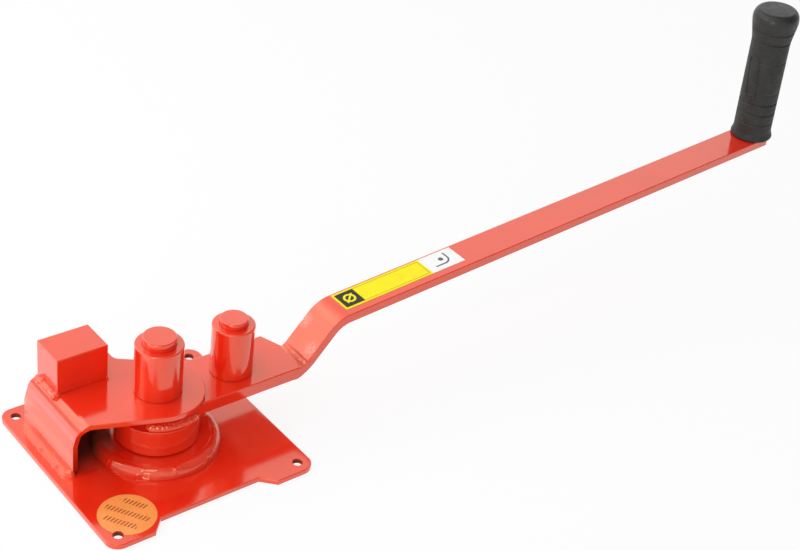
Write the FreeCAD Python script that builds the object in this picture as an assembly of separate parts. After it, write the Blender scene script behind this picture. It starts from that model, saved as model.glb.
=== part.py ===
"""Bench-mounted manual bender for reinforcing bar: base, welded bracket, pivoting lever, two loose rollers."""
import FreeCAD, Part
import math
import os

V = FreeCAD.Vector
Z = V(0, 0, 1)

# The origin is the pivot axis on the underside of the base plate.
# X runs from the pivot towards the handle, Y away from the operator, Z up.

# Base plate
plate_size = 200.0
plate_thickness = 5.0
plate_corner_radius = 12.0
corner_tab_length = 40.0
recess_depth = 12.0
bolt_edge_distance = 12.0
bolt_hole_diameter = 8.5

# Pivot post and flange
post_diameter = 29.0
post_rise = 7.5
pin_edge_chamfer = 1.0
post_root_weld_leg = 3.0
flange_diameter = 100.0
flange_thickness = 10.0
flange_weld_leg = 6.4

# Running and seating clearances
running_clearance = 0.08
seat_clearance = 0.05
thrust_gap = 0.25

# Thrust washers
lower_washer_diameter = 64.0
lower_washer_thickness = 1.0
upper_washer_diameter = 50.0
upper_washer_thickness = 1.5

# Hub and arm plate
hub_diameter = 74.0
hub_height = 25.0
arm_width = 57.6
arm_thickness = 12.0
arm_length = 133.0
arm_chamfer_length = 8.5
arm_chamfer_width = 22.5
hub_weld_leg = 7.5
hub_weld_end_angle = 38.0

# Rollers
bar_capacity = 12.0
bar_clearance = 0.5
centre_sleeve_diameter = 42.0
centre_sleeve_height = 47.5
bending_sleeve_diameter = 38.0
bending_sleeve_height = 49.0
bending_pin_diameter = 25.0
bending_pin_rise = 6.0
bending_pin_foot = 3.0
bending_pin_weld_leg = 4.0
roller_offset = 74.0
sleeve_top_chamfer = 1.2
sleeve_foot_chamfer = 0.5

# Bracket, one bent plate
bracket_thickness = 5.0
bracket_bend_radius = 7.0
bracket_edge_distance = 16.0
bracket_far_distance = 20.0
bracket_near = -6.0
bracket_near_drop = 26.0
bracket_near_shift = 9.5
bracket_far_drop = 32.0
bracket_far_level = 4.0
tongue_disc_diameter = 80.0
tongue_end_margin = 18.5
tongue_far_margin = 1.0
tongue_fillet = 8.0
tongue_neck_angle = 34.5
bracket_weld_leg = 9.0
rib_thickness = 5.0
rib_foot_setback = 7.0
rib_weld_leg = 4.0
rib_weld_margin = 2.0

# Stop block
block_length = 48.0
block_width = 35.0
block_height = 35.0
block_inset = 7.0
block_edge_fillet = 0.8
block_weld_radius = 4.5
block_weld_short = 3.0
block_tack_radius = 3.0

# Lever bar, flat steel bent twice
bar_width = 35.0
bar_thickness = 9.0
bar_bend_radius = 24.0
bar_root_lift = 2.2
bar_root_angle = 28.0
bar_rise_angle = 48.0
bar_slope_angle = 4.3
bar_rise_length = 31.5
bar_run_length = 556.0
bar_weld_radius = 5.0
bar_weld_length = 19.0

# Handle
handle_end_distance = 7.5
handle_lean = 0.9
rod_diameter = 24.0
rod_length = 132.0
rod_weld_leg = 3.0
grip_length = 146.5
grip_diameter = 40.0
grip_flare_diameter = 44.0
grip_flare_height = 9.0
grip_foot_round = 2.5
grip_knob_diameter = 47.5
grip_knob_height = 136.0
grip_knob_start = 110.0
grip_crown_diameter = 34.0
grip_weld_clearance = 0.5
grip_groove_width = 1.4
grip_groove_depth = 0.8
grip_groove_heights = (19.0, 28.0, 39.5, 51.0, 107.0, 118.0)

# Labels
label_thickness = 0.3
label_edge_margin = 2.2
label_start = 0.5
long_label_length = 100.0
long_label_width = 25.0
tile_margin = 2.2
tile_size = 20.0
plain_label_length = 38.0
round_label_diameter = 48.8
round_label_side_distance = 30.2
round_label_front_distance = 29.1
label_hole_margin = 0.3

# Heights of the stack on the pivot post, worked out from the pieces
flange_top = plate_thickness + flange_thickness
lower_washer_top = flange_top + lower_washer_thickness
hub_bottom = lower_washer_top + thrust_gap
hub_top = hub_bottom + hub_height
arm_bottom = hub_top
arm_top = arm_bottom + arm_thickness
upper_washer_top = arm_top + upper_washer_thickness
tongue_bottom = upper_washer_top + thrust_gap
tongue_top = tongue_bottom + bracket_thickness
centre_sleeve_bottom = tongue_top + thrust_gap
post_top = centre_sleeve_bottom + centre_sleeve_height + post_rise
bending_sleeve_bottom = arm_top + thrust_gap
bending_pin_top = bending_sleeve_bottom + bending_sleeve_height + bending_pin_rise
bending_pin_bottom = arm_bottom - bending_pin_foot

# Radii and faces that other pieces line up with
bolt_spacing = plate_size - 2 * bolt_edge_distance
bracket_reach = plate_size / 2 - bracket_edge_distance
bracket_far = plate_size / 2 - bracket_far_distance
post_radius = post_diameter / 2
seat_radius = post_radius + seat_clearance
journal_radius = post_radius + running_clearance
bend_outer_radius = bracket_bend_radius + bracket_thickness
bend_centre_x = -bracket_reach + bend_outer_radius
bend_centre_z = tongue_top - bend_outer_radius
block_near = centre_sleeve_diameter / 2 + bar_capacity + bar_clearance
block_far = block_near + block_width
block_left = -bracket_reach + block_inset
block_right = block_left + block_length
tongue_far = block_far + tongue_far_margin
tongue_end = block_right + tongue_end_margin
rib_near = (block_near + block_far - rib_thickness) / 2
rib_left = -bracket_reach + bracket_thickness
rib_foot_right = block_right - rib_foot_setback


def cylinder(radius, height, x=0.0, y=0.0, z=0.0, axis=Z):
    return Part.makeCylinder(radius, height, V(x, y, z), axis)


def tube(outer_radius, inner_radius, height, z):
    return cylinder(outer_radius, height, z=z).cut(cylinder(inner_radius, height + 2, z=z - 1))


def box(x0, x1, y0, y1, z0, z1):
    return Part.makeBox(x1 - x0, y1 - y0, z1 - z0, V(x0, y0, z0))


def prism(points, direction):
    """Extrude a closed polygon."""
    return Part.Face(Part.makePolygon(points + [points[0]])).extrude(direction)


def solid_of(shape):
    """Merge the faces left by boolean steps and return the single solid."""
    return shape.removeSplitter().Solids[0]


def vertical_edges(shape, spots):
    """Find the edges parallel to Z that stand at the given plan positions."""
    found = []
    for edge in shape.Edges:
        start = edge.Vertexes[0].Point
        end = edge.Vertexes[-1].Point
        if math.hypot(start.x - end.x, start.y - end.y) > 1e-6:
            continue
        for x, y in spots:
            if math.hypot(start.x - x, start.y - y) < 1e-3:
                found.append(edge)
    return found


def tangent_point(x, y, radius, side):
    """Give the point where a line from (x, y) touches the circle about the origin."""
    distance = math.hypot(x, y)
    turn = math.acos(radius / distance) * side
    angle = math.atan2(y, x) + turn
    return radius * math.cos(angle), radius * math.sin(angle)


def make_base_plate():
    half = plate_size / 2
    waist = half - recess_depth
    outer = half - corner_tab_length
    inner = outer - recess_depth
    outline = [
        V(-half, -half, 0), V(-outer, -half, 0), V(-inner, -waist, 0), V(inner, -waist, 0),
        V(outer, -half, 0), V(half, -half, 0), V(half, half, 0), V(outer, half, 0),
        V(inner, waist, 0), V(-inner, waist, 0), V(-outer, half, 0), V(-half, half, 0),
    ]
    plate = prism(outline, V(0, 0, plate_thickness))
    corners = [(-half, -half), (half, -half), (half, half), (-half, half)]
    plate = plate.makeFillet(plate_corner_radius, vertical_edges(plate, corners))
    for sx in (-1, 1):
        for sy in (-1, 1):
            x = sx * bolt_spacing / 2
            y = sy * bolt_spacing / 2
            plate = plate.cut(cylinder(bolt_hole_diameter / 2, plate_thickness + 2, x, y, -1))
    plate = plate.cut(cylinder(seat_radius, plate_thickness + 2, z=-1))
    sink = Part.makeCone(post_radius + post_root_weld_leg, post_radius, post_root_weld_leg)
    return plate.cut(sink)


def make_post_root_weld():
    cone = Part.makeCone(post_radius + post_root_weld_leg, post_radius, post_root_weld_leg)
    return cone.cut(cylinder(post_radius, post_root_weld_leg + 2, z=-1))


def make_pivot_flange():
    return tube(flange_diameter / 2, seat_radius, flange_thickness, plate_thickness)


def make_flange_weld():
    radius = flange_diameter / 2
    low = V(radius, 0, plate_thickness)
    toe = V(radius + flange_weld_leg, 0, plate_thickness)
    high = V(radius, 0, flange_top)
    middle = V(radius + 0.66 * flange_weld_leg, 0, plate_thickness + 0.66 * flange_thickness)
    edges = [
        Part.LineSegment(low, toe).toShape(),
        Part.Arc(toe, middle, high).toShape(),
        Part.LineSegment(high, low).toShape(),
    ]
    return Part.Face(Part.Wire(edges)).revolve(V(0, 0, 0), Z, 360)


def make_centre_post():
    post = cylinder(post_radius, post_top)
    tip = [e for e in post.Edges if abs(e.BoundBox.ZMin - post_top) < 1e-6]
    return post.makeChamfer(pin_edge_chamfer, tip)


def bracket_profile():
    """Leg, bend and tongue seen along Y, before the outline is cut."""
    reach = tongue_disc_diameter / 2
    outer = bend_outer_radius
    inner = bracket_bend_radius
    cx = bend_centre_x
    cz = bend_centre_z
    c45 = math.cos(math.pi / 4)
    a = V(-bracket_reach, 0, plate_thickness)
    b = V(-bracket_reach, 0, cz)
    b2 = V(cx - outer * c45, 0, cz + outer * c45)
    c = V(cx, 0, tongue_top)
    d = V(reach, 0, tongue_top)
    e = V(reach, 0, tongue_bottom)
    f = V(cx, 0, tongue_bottom)
    f2 = V(cx - inner * c45, 0, cz + inner * c45)
    g = V(-bracket_reach + bracket_thickness, 0, cz)
    h = V(-bracket_reach + bracket_thickness, 0, plate_thickness)
    edges = [
        Part.LineSegment(a, b).toShape(), Part.Arc(b, b2, c).toShape(), Part.LineSegment(c, d).toShape(),
        Part.LineSegment(d, e).toShape(), Part.LineSegment(e, f).toShape(), Part.Arc(f, f2, g).toShape(),
        Part.LineSegment(g, h).toShape(), Part.LineSegment(h, a).toShape(),
    ]
    return Part.Face(Part.Wire(edges))


def make_bracket():
    radius = tongue_disc_diameter / 2
    low = -radius - 10
    sheet = bracket_profile()
    sheet.translate(V(0, low, 0))
    sheet = sheet.extrude(V(0, bracket_far - low, 0))
    near_at_bend = bracket_near - bracket_near_shift
    # outline of the leg and the bend, seen along X
    x = -bracket_reach - 1
    side = [
        V(x, bracket_near, 0), V(x, bracket_near, tongue_top - bracket_near_drop),
        V(x, near_at_bend, tongue_top), V(x, near_at_bend, tongue_top + 5),
        V(x, tongue_far, tongue_top + 5), V(x, tongue_far, tongue_top - bracket_far_level),
        V(x, bracket_far, tongue_top - bracket_far_drop), V(x, bracket_far, 0),
    ]
    leg = sheet.common(prism(side, V(bend_centre_x - x, 0, 0)))
    # outline of the tongue in plan: block seat, neck edges and the disc round the post
    near_x, near_y = tangent_point(bend_centre_x, near_at_bend, radius, 1)
    neck = math.radians(90 - tongue_neck_angle)
    neck_x = radius * math.cos(neck)
    neck_y = radius * math.sin(neck)
    root_y = neck_y + (neck_x - tongue_end) * math.tan(math.radians(tongue_neck_angle))
    plan = [
        V(bend_centre_x, near_at_bend, 0), V(near_x, near_y, 0), V(0, 0, 0), V(neck_x, neck_y, 0),
        V(tongue_end, root_y, 0), V(tongue_end, tongue_far, 0), V(bend_centre_x, tongue_far, 0),
    ]
    high = tongue_top + 1
    plate = prism(plan, V(0, 0, high))
    plate = plate.makeFillet(tongue_fillet, vertical_edges(plate, [(tongue_end, root_y)]))
    plate = plate.fuse(cylinder(radius, high))
    tongue = sheet.common(plate)
    bracket = leg.fuse(tongue).cut(cylinder(seat_radius, high))
    return solid_of(bracket)


def make_bracket_weld():
    leg = bracket_weld_leg
    x = -bracket_reach
    z = plate_thickness
    y = bracket_near
    corner = V(x, y, z)
    toe = V(x - leg, y, z)
    top = V(x, y, z + leg)
    middle = V(x - 0.62 * leg, y, z + 0.62 * leg)
    edges = [
        Part.LineSegment(corner, toe).toShape(),
        Part.Arc(toe, middle, top).toShape(),
        Part.LineSegment(top, corner).toShape(),
    ]
    section = Part.Face(Part.Wire(edges))
    along = section.extrude(V(0, bracket_far - y, 0))
    rounded_end = section.revolve(corner, Z, 90)
    return solid_of(along.fuse(rounded_end))


def make_tongue_rib(bracket):
    """Upright plate under the tongue, in line with the middle of the stop block."""
    outline = [
        V(rib_left, rib_near, plate_thickness), V(rib_foot_right, rib_near, plate_thickness),
        V(block_right, rib_near, tongue_bottom), V(rib_left, rib_near, tongue_bottom),
    ]
    rib = prism(outline, V(0, rib_thickness, 0)).cut(bracket)
    return max(rib.Solids, key=lambda s: s.Volume)


def make_rib_weld(side):
    """Fillet bead along the foot of the rib, on its near or its far face."""
    leg = rib_weld_leg
    y = rib_near if side < 0 else rib_near + rib_thickness
    start = rib_left + rib_weld_margin
    corner = V(start, y, plate_thickness)
    toe = V(start, y + side * leg, plate_thickness)
    top = V(start, y, plate_thickness + leg)
    middle = V(start, y + side * 0.6 * leg, plate_thickness + 0.6 * leg)
    edges = [
        Part.LineSegment(corner, toe).toShape(),
        Part.Arc(toe, middle, top).toShape(),
        Part.LineSegment(top, corner).toShape(),
    ]
    return Part.Face(Part.Wire(edges)).extrude(V(rib_foot_right - rib_weld_margin - start, 0, 0))


def make_stop_block():
    block = box(block_left, block_right, block_near, block_far, tongue_top, tongue_top + block_height)
    spots = [(x, y) for x in (block_left, block_right) for y in (block_near, block_far)]
    return block.makeFillet(block_edge_fillet, vertical_edges(block, spots))


def make_block_weld(block, bracket):
    r = block_weld_radius
    x = block_left
    z = tongue_top - 0.1 * r
    bead = cylinder(r, block_width - block_weld_short, x, block_near, z, V(0, 1, 0))
    bead = bead.fuse(Part.makeSphere(r, V(x, block_near, z)))
    bead = bead.cut(block).cut(bracket)
    return max(bead.Solids, key=lambda s: s.Volume)


def make_block_tack(block, bracket):
    tack = Part.makeSphere(block_tack_radius, V(block_right, block_near, tongue_top))
    tack = tack.cut(block).cut(bracket)
    return max(tack.Solids, key=lambda s: s.Volume)


def make_round_label():
    radius = round_label_diameter / 2
    x = -plate_size / 2 + round_label_side_distance
    y = -plate_size / 2 + round_label_front_distance
    label = cylinder(radius, label_thickness, x, y, plate_thickness)
    hole = -bolt_spacing / 2
    trim = cylinder(bolt_hole_diameter / 2 + label_hole_margin, 2, hole, hole, plate_thickness - 1)
    return label.cut(trim)


def make_lower_washer():
    return tube(lower_washer_diameter / 2, seat_radius, lower_washer_thickness, flange_top)


def make_upper_washer():
    return tube(upper_washer_diameter / 2, journal_radius, upper_washer_thickness, arm_top)


def make_pivot_hub():
    return tube(hub_diameter / 2, journal_radius, hub_height, hub_bottom)


def make_arm_plate():
    half = arm_width / 2
    cut_x = arm_length - arm_chamfer_length
    cut_y = half - arm_chamfer_width
    outline = [
        V(0, -half, arm_bottom), V(arm_length, -half, arm_bottom), V(arm_length, cut_y, arm_bottom),
        V(cut_x, half, arm_bottom), V(0, half, arm_bottom),
    ]
    plate = prism(outline, V(0, 0, arm_thickness)).fuse(cylinder(half, arm_thickness, z=arm_bottom))
    plate = solid_of(plate)
    plate = plate.cut(cylinder(journal_radius, arm_thickness + 2, z=arm_bottom - 1))
    pin_hole = cylinder(bending_pin_diameter / 2 + seat_clearance, arm_thickness + 2, roller_offset, 0, arm_bottom - 1)
    return plate.cut(pin_hole)


def make_hub_weld(side):
    """Fillet bead between the hub's rim and the arm plate's edge, on one side of the arm."""
    leg = hub_weld_leg
    edge = arm_width / 2
    foot = V(0, -edge, arm_bottom)
    toe = V(0, -edge - leg, arm_bottom)
    top = V(0, -edge, arm_bottom + leg)
    middle = V(0, -edge - 0.6 * leg, arm_bottom + 0.6 * leg)
    edges = [
        Part.LineSegment(foot, toe).toShape(),
        Part.Arc(toe, middle, top).toShape(),
        Part.LineSegment(top, foot).toShape(),
    ]
    section = Part.Face(Part.Wire(edges))
    straight = section.extrude(V(hub_diameter / 2, 0, 0))
    curved = section.revolve(V(0, 0, 0), V(0, 0, -1), hub_weld_end_angle)
    bead = straight.fuse(curved).common(cylinder(hub_diameter / 2, hub_weld_leg * 2, z=arm_bottom))
    bead = solid_of(bead)
    if side > 0:
        bead = bead.mirror(V(0, 0, 0), V(0, 1, 0))
    return bead


def make_bending_pin():
    pin = cylinder(bending_pin_diameter / 2, bending_pin_top - bending_pin_bottom, roller_offset, 0, bending_pin_bottom)
    tip = [e for e in pin.Edges if abs(e.BoundBox.ZMin - bending_pin_top) < 1e-6]
    return pin.makeChamfer(pin_edge_chamfer, tip)


def make_bending_pin_weld():
    radius = bending_pin_diameter / 2
    leg = bending_pin_weld_leg
    foot = V(roller_offset + radius, 0, arm_bottom)
    toe = V(roller_offset + radius + leg, 0, arm_bottom)
    low = V(roller_offset + radius, 0, arm_bottom - bending_pin_foot)
    section = Part.Face(Part.makePolygon([foot, toe, low, foot]))
    return section.revolve(V(roller_offset, 0, 0), Z, 360)


def make_sleeve(diameter, height, pin_diameter, x, bottom):
    sleeve = cylinder(diameter / 2, height, x, 0, bottom)
    foot = [e for e in sleeve.Edges if abs(e.BoundBox.ZMax - bottom) < 1e-6]
    sleeve = sleeve.makeChamfer(sleeve_foot_chamfer, foot)
    rim = [e for e in sleeve.Edges if abs(e.BoundBox.ZMin - bottom - height) < 1e-6]
    sleeve = sleeve.makeChamfer(sleeve_top_chamfer, rim)
    return sleeve.cut(cylinder(pin_diameter / 2 + running_clearance, height + 2, x, 0, bottom - 1))


def make_centre_sleeve():
    return make_sleeve(centre_sleeve_diameter, centre_sleeve_height, post_diameter, 0, centre_sleeve_bottom)


def make_bending_sleeve():
    bottom = bending_sleeve_bottom
    return make_sleeve(bending_sleeve_diameter, bending_sleeve_height, bending_pin_diameter, roller_offset, bottom)


def turn(point, heading, angle, radius):
    """Follow an arc from a point on the bar's middle line and return its middle and end."""
    reach = math.copysign(radius, angle)
    cx = point[0] - reach * math.sin(heading)
    cz = point[1] + reach * math.cos(heading)
    found = []
    for a in (heading + angle / 2, heading + angle):
        found.append((cx + reach * math.sin(a), cz - reach * math.cos(a)))
    return found


def lever_line():
    """Stations on the middle line of the lever bar in the XZ plane, each with its heading."""
    root = math.radians(bar_root_angle)
    rise = math.radians(bar_rise_angle)
    slope = math.radians(bar_slope_angle)
    radius = bar_bend_radius + bar_thickness / 2
    start = (arm_length, arm_bottom + arm_thickness / 2 + bar_root_lift)
    back = (start[0] - bar_thickness * math.cos(root), start[1] - bar_thickness * math.sin(root))
    mid1, end1 = turn(start, root, rise - root, radius)
    end2 = (end1[0] + bar_rise_length * math.cos(rise), end1[1] + bar_rise_length * math.sin(rise))
    mid3, end3 = turn(end2, rise, slope - rise, radius)
    end4 = (end3[0] + bar_run_length * math.cos(slope), end3[1] + bar_run_length * math.sin(slope))
    stations = [(back, root), (start, root), (mid1, (root + rise) / 2), (end1, rise), (end2, rise)]
    stations += [(mid3, (rise + slope) / 2), (end3, slope), (end4, slope)]
    return stations


def lever_edges(offset):
    """Points of one face of the bar, at a distance from its middle line."""
    points = []
    for (x, z), heading in lever_line():
        points.append(V(x - offset * math.sin(heading), -arm_width / 2, z + offset * math.cos(heading)))
    return points


def make_lever_bar():
    top = lever_edges(bar_thickness / 2)
    low = lever_edges(-bar_thickness / 2)
    edges = []
    for p in (top, low):
        edges.append(Part.LineSegment(p[0], p[1]).toShape())
        edges.append(Part.Arc(p[1], p[2], p[3]).toShape())
        edges.append(Part.LineSegment(p[3], p[4]).toShape())
        edges.append(Part.Arc(p[4], p[5], p[6]).toShape())
        edges.append(Part.LineSegment(p[6], p[7]).toShape())
    edges.append(Part.LineSegment(top[0], low[0]).toShape())
    edges.append(Part.LineSegment(top[7], low[7]).toShape())
    wire = Part.Wire(Part.__sortEdges__(edges))
    bar = Part.Face(wire).extrude(V(0, bar_width, 0))
    half = arm_width / 2
    behind = box(arm_length - bar_thickness, arm_length, -half - 1, half + 1, 0, tongue_top)
    return solid_of(bar.cut(behind))


def make_lever_weld(arm, bar):
    """Bead that fills most of the groove between the arm plate's end and the bar."""
    far = -arm_width / 2 + bar_width
    x = arm_length + 0.15 * bar_weld_radius
    bead = cylinder(bar_weld_radius, bar_weld_length, x, far - bar_weld_length, arm_top - 0.1 * bar_weld_radius, V(0, 1, 0))
    bead = bead.cut(arm).cut(bar)
    return max(bead.Solids, key=lambda s: s.CenterOfMass.z)


def bar_frame():
    """Place of the handle on the bar's top face: foot, direction along the bar, upward normal."""
    slope = math.radians(bar_slope_angle)
    end = lever_edges(bar_thickness / 2)[7]
    along = V(math.cos(slope), 0, math.sin(slope))
    foot = end - along * handle_end_distance
    foot.y = -arm_width / 2 + bar_width / 2
    return foot, along, V(-math.sin(slope), 0, math.cos(slope))


def on_bar(shape):
    """Move a shape drawn about Z at the origin onto the bar's top face at the handle."""
    foot, along, normal = bar_frame()
    shape = shape.copy()
    shape.rotate(V(0, 0, 0), V(0, 1, 0), handle_lean - bar_slope_angle)
    shape.translate(foot)
    return shape


def above_bar(shape, margin):
    """Cut away what lies under the bar's top face, raised by a margin."""
    foot, along, normal = bar_frame()
    reach = grip_length
    slab = Part.makeBox(2 * reach, 2 * reach, reach, V(-reach, -reach, -reach))
    slab.rotate(V(0, 0, 0), V(0, 1, 0), -bar_slope_angle)
    slab.translate(foot + normal * margin)
    return shape.cut(slab)


def make_handle_rod():
    radius = rod_diameter / 2
    rod = cylinder(radius, rod_length + rod_weld_leg, z=-rod_weld_leg)
    tip = [e for e in rod.Edges if abs(e.BoundBox.ZMin - rod_length) < 1e-6]
    rod = rod.makeChamfer(pin_edge_chamfer, tip)
    return above_bar(on_bar(rod), 0)


def make_handle_weld():
    radius = rod_diameter / 2
    leg = rod_weld_leg
    ring = Part.makeCone(radius + 2 * leg, radius, 2 * leg, V(0, 0, -leg))
    ring = above_bar(on_bar(ring), 0)
    ring = ring.cut(on_bar(cylinder(radius, 6 * leg, z=-3 * leg)))
    foot, along, normal = bar_frame()
    wide = 2 * rod_diameter
    beyond = Part.makeBox(wide, 2 * wide, 2 * wide, V(0, -wide, -wide))
    beyond.rotate(V(0, 0, 0), V(0, 1, 0), -bar_slope_angle)
    beyond.translate(foot + along * handle_end_distance)
    return solid_of(ring.cut(beyond))


def grip_section():
    """Half section of the grip from below its foot to the crown."""
    r = grip_diameter / 2
    flare = grip_flare_diameter / 2
    knob = grip_knob_diameter / 2
    crown = grip_crown_diameter / 2
    foot_round = grip_foot_round
    below = V(0, 0, -rod_weld_leg)
    heel = V(flare - foot_round, 0, -rod_weld_leg)
    foot = V(flare - foot_round, 0, 0)
    foot_bow = V(flare - 0.3 * foot_round, 0, 0.3 * foot_round)
    widest = V(flare, 0, foot_round)
    neck_bow = V((flare + r) / 2 - 0.4, 0, (foot_round + grip_flare_height) / 2)
    neck = V(r, 0, grip_flare_height)
    start = V(r, 0, grip_knob_start)
    swell = V(r + 0.4 * (knob - r), 0, (grip_knob_start + grip_knob_height) / 2)
    wide = V(knob, 0, grip_knob_height)
    rim_bow = V(crown + 0.72 * (knob - crown), 0, grip_knob_height + 0.72 * (grip_length - grip_knob_height))
    rim = V(crown, 0, grip_length)
    top = V(0, 0, grip_length)
    edges = [
        Part.LineSegment(below, heel).toShape(), Part.LineSegment(heel, foot).toShape(),
        Part.Arc(foot, foot_bow, widest).toShape(), Part.Arc(widest, neck_bow, neck).toShape(),
        Part.LineSegment(neck, start).toShape(), Part.Arc(start, swell, wide).toShape(),
        Part.Arc(wide, rim_bow, rim).toShape(), Part.LineSegment(rim, top).toShape(),
        Part.LineSegment(top, below).toShape(),
    ]
    return Part.Face(Part.Wire(edges))


def make_handle_grip():
    grip = grip_section().revolve(V(0, 0, 0), Z, 360)
    r = grip_diameter / 2
    for height in grip_groove_heights:
        ring = cylinder(r + 5, grip_groove_width, z=height - grip_groove_width / 2)
        ring = ring.cut(cylinder(r - grip_groove_depth, grip_groove_width + 2, z=height - 1 - grip_groove_width / 2))
        grip = grip.cut(ring)
    bore = rod_diameter / 2 + seat_clearance
    grip = grip.cut(cylinder(bore, rod_length + rod_weld_leg + seat_clearance, z=-rod_weld_leg))
    relief = 2 * rod_weld_leg + grip_weld_clearance
    grip = grip.cut(Part.makeCone(rod_diameter / 2 + relief, rod_diameter / 2, relief, V(0, 0, -rod_weld_leg)))
    return solid_of(above_bar(on_bar(grip), seat_clearance))


def bar_label(start, length, width, near, lift, thickness):
    """Thin plate on the bar's upper run; start is measured from the end of the second bend."""
    slope = math.radians(bar_slope_angle)
    corner = lever_edges(bar_thickness / 2)[6]
    label = Part.makeBox(length, width, thickness)
    label.translate(V(start, near, lift))
    label.rotate(V(0, 0, 0), V(0, 1, 0), -bar_slope_angle)
    label.translate(V(corner.x, 0, corner.z))
    return label


def label_near_edge():
    return -arm_width / 2 + bar_width - label_edge_margin - long_label_width


def make_long_label():
    return bar_label(label_start, long_label_length, long_label_width, label_near_edge(), 0, label_thickness)


def make_symbol_tile():
    start = label_start + tile_margin
    near = label_near_edge() + (long_label_width - tile_size) / 2
    return bar_label(start, tile_size, tile_size, near, label_thickness, label_thickness)


def make_plain_label():
    start = label_start + long_label_length
    return bar_label(start, plain_label_length, long_label_width, label_near_edge(), 0, label_thickness)


def build():
    bracket = make_bracket()
    block = make_stop_block()
    arm = make_arm_plate()
    bar = make_lever_bar()
    return {
        "base_plate": make_base_plate(),
        "post_root_weld": make_post_root_weld(),
        "pivot_flange": make_pivot_flange(),
        "flange_weld": make_flange_weld(),
        "centre_post": make_centre_post(),
        "lower_thrust_washer": make_lower_washer(),
        "bracket": bracket,
        "bracket_foot_weld": make_bracket_weld(),
        "tongue_rib": make_tongue_rib(bracket),
        "rib_weld_near": make_rib_weld(-1),
        "rib_weld_far": make_rib_weld(1),
        "stop_block": block.cut(bracket),
        "stop_block_weld": make_block_weld(block, bracket),
        "stop_block_tack": make_block_tack(block, bracket),
        "round_label": make_round_label(),
        "pivot_hub": make_pivot_hub(),
        "arm_plate": arm,
        "hub_weld_near": make_hub_weld(-1),
        "hub_weld_far": make_hub_weld(1),
        "upper_thrust_washer": make_upper_washer(),
        "bending_pin": make_bending_pin(),
        "bending_pin_weld": make_bending_pin_weld(),
        "lever_bar": bar,
        "lever_weld": make_lever_weld(arm, bar),
        "handle_rod": make_handle_rod(),
        "handle_rod_weld": make_handle_weld(),
        "handle_grip": make_handle_grip(),
        "long_label": make_long_label(),
        "symbol_tile": make_symbol_tile(),
        "plain_label": make_plain_label(),
        "centre_sleeve": make_centre_sleeve(),
        "bending_sleeve": make_bending_sleeve(),
    }


os.makedirs("parts", exist_ok=True)
for name, shape in build().items():
    assert shape.isValid() and len(shape.Solids) == 1, name
    print(name, round(shape.Volume / 1000, 2), "cm3")
    shape.Solids[0].exportStep("parts/" + name + ".step")
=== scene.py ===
"""Looks of a bench-mounted hand bender for reinforcing bar: sprayed steel, welds, rubber grip and films."""
import math

import bmesh
import bpy
import numpy as np
from mathutils import Matrix, Vector
from mathutils.geometry import tessellate_polygon


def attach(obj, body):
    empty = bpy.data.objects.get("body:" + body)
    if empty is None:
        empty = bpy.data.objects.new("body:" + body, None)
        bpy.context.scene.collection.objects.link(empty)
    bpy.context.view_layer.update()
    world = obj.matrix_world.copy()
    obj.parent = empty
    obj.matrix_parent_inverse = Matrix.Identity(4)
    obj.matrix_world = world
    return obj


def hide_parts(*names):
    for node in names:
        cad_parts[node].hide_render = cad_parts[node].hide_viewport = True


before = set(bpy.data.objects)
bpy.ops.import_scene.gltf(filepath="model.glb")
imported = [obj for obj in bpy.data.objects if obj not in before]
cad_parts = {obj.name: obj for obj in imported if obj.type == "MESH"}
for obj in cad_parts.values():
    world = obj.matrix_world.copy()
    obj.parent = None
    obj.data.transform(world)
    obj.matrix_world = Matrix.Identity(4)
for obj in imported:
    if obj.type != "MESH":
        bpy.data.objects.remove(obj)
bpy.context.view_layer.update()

MM = 0.001

# Sizes in millimetres, the same as the solids have
PLATE, PLATE_THICK, PLATE_CORNER, TAB, RECESS = 200.0, 5.0, 12.0, 40.0, 12.0
BOLT_APART, BOLT_HOLE = 176.0, 8.5
POST_R, POST_TOP = 14.5, 115.25
SNUG, RUNNING = 0.05, 0.08
FLANGE_R, FLANGE_TOP, FLANGE_LEG = 50.0, 15.0, 6.4
HUB_R, HUB_LOW, HUB_TOP = 37.0, 16.25, 41.25
ARM_HALF, ARM_LOW, ARM_TOP, ARM_LONG = 28.8, 41.25, 53.25, 133.0
TONGUE_TOP, STAND_THICK, STAND_REACH, BEND_INNER = 60.0, 5.0, 84.0, 7.0
LEG_NEAR, LEG_FAR, TONGUE_NEAR, TONGUE_FAR = -6.0, 80.0, -15.5, 69.5
BLOCK = (-77.0, -29.0, 33.5, 68.5, 60.0, 95.0)
PIN_X, PIN_R, PIN_LOW, PIN_TOP = 74.0, 12.5, 38.25, 108.5
STRAP_WIDE, STRAP_THICK = 35.0, 9.0
ROOT, RISE, RUN = math.radians(28.0), math.radians(48.0), math.radians(4.3)
FIRST_BEND_STEPS, RISE_STEPS, SECOND_BEND_STEPS, RUN_STEPS = 10, 2, 20, 12
RUN_START = FIRST_BEND_STEPS + RISE_STEPS + SECOND_BEND_STEPS
GRIP_LONG, GRIP_R, ROD_R, ROD_DEEP = 146.5, 20.0, 12.0, 132.0


# ---------------------------------------------------------------- nodes

class Field:
    """What a node gives; plain arithmetic on it adds the nodes that work it out."""

    def __init__(self, wires, socket):
        self.wires, self.socket = wires, socket

    def __add__(self, other):
        return self.wires.math("ADD", self, other)

    def __sub__(self, other):
        return self.wires.math("SUBTRACT", self, other)

    def __rsub__(self, other):
        return self.wires.math("SUBTRACT", other, self)

    def __mul__(self, other):
        return self.wires.math("MULTIPLY", self, other)

    __rmul__ = __mul__

    def __truediv__(self, other):
        return self.wires.math("DIVIDE", self, other)

    def __rtruediv__(self, other):
        return self.wires.math("DIVIDE", other, self)

    def __abs__(self):
        return self.wires.math("ABSOLUTE", self)


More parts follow.
